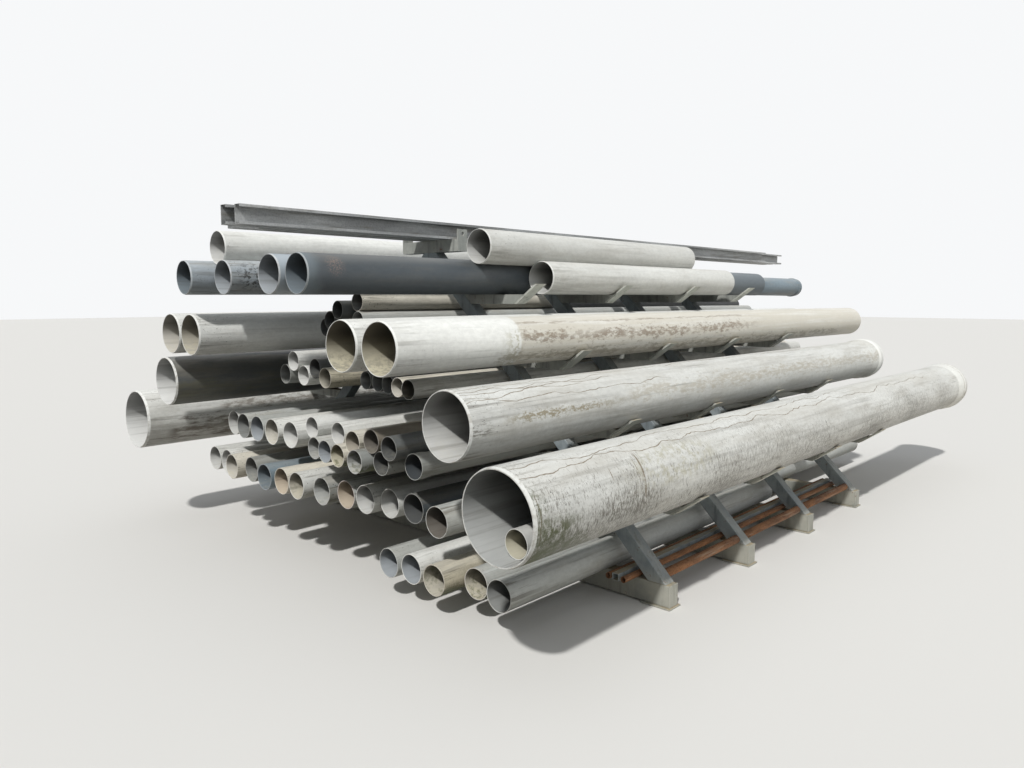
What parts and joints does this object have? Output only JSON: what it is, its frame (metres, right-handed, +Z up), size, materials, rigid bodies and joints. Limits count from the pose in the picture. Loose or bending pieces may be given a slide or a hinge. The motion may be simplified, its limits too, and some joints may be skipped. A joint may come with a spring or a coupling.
{
  "type": "stack of plastic sewer pipes on a storage rack",
  "caption": "Stack of used PVC sewer pipes of mixed sizes on a welded steel storage rack with arms and shelves.",
  "frame": {"origin": "on the floor, under the middle of the whole stack's outline", "axes": "+X along the pipes away from their front mouths, +Y across the rack, +Z up"},
  "size_m": [6.46, 4.0615, 2.0603],
  "materials": {
    "pipe_grey": "weathered",
    "pipe_cream": "weathered",
    "pipe_blue": "weathered",
    "rack_steel": "worn paint",
    "rusty_steel": "rusty",
    "galvanised_steel": "weathered"
  },
  "bodies": {
    "root": {"near_pipe_400": "pipe_grey", "nested_pipe_125": "pipe_cream", "near_pipe_315": "pipe_cream", "near_pipe_250_outer": "pipe_cream", "near_pipe_250_inner": "pipe_cream", "far_pipe_400": "pipe_cream", "far_pipe_315": "pipe_blue", "far_pipe_250_inner": "pipe_cream", "far_pipe_250_outer": "pipe_cream", "top_near_pipe_inner": "pipe_blue", "top_near_pipe_middle": "pipe_blue", "top_near_pipe_outer": "pipe_grey", "top_near_pipe_upper": "pipe_grey", "nested_pipe_160": "pipe_blue", "top_far_pipe_inner": "pipe_grey", "top_far_pipe_outer": "pipe_grey", "top_far_pipe_upper": "pipe_grey", "base_row_pipes_grey": "pipe_grey", "base_row_pipes_cream": "pipe_cream", "lower_row_pipes_grey": "pipe_grey", "lower_row_pipes_cream": "pipe_cream", "lower_row_pipes_blue": "pipe_blue", "middle_row_pipes_grey": "pipe_grey", "middle_row_pipes_cream": "pipe_cream", "middle_row_pipes_blue": "pipe_blue", "middle_upper_pipes_grey": "pipe_grey", "middle_upper_pipes_cream": "pipe_cream", "upper_row_pipes_grey": "pipe_grey", "upper_row_pipes_cream": "pipe_cream", "upper_heap_pipes": "pipe_cream", "crown_row_pipes": "pipe_grey", "crown_heap_pipes": "pipe_grey", "base_beams": "rack_steel", "base_end_plates": "rack_steel", "foot_plates": "rack_steel", "near_legs": "rack_steel", "far_legs": "rack_steel", "low_arms": "rack_steel", "low_arm_stops": "rack_steel", "second_arms": "rack_steel", "second_arm_stops": "rack_steel", "third_arms": "rack_steel", "third_arm_stops": "rack_steel", "top_arms": "rack_steel", "top_arm_stops": "rack_steel", "low_shelf_beams": "rack_steel", "second_shelf_beams": "rack_steel", "third_shelf_beams": "rack_steel", "top_shelf_beams": "rack_steel", "top_beams": "rack_steel", "top_beam_lugs": "rack_steel", "tie_tubes": "rusty_steel", "round_bars": "rusty_steel", "square_bar": "rack_steel", "near_channel": "galvanised_steel", "second_channel": "galvanised_steel", "third_channel": "galvanised_steel", "far_channel": "galvanised_steel"}
  },
  "joints": []
}
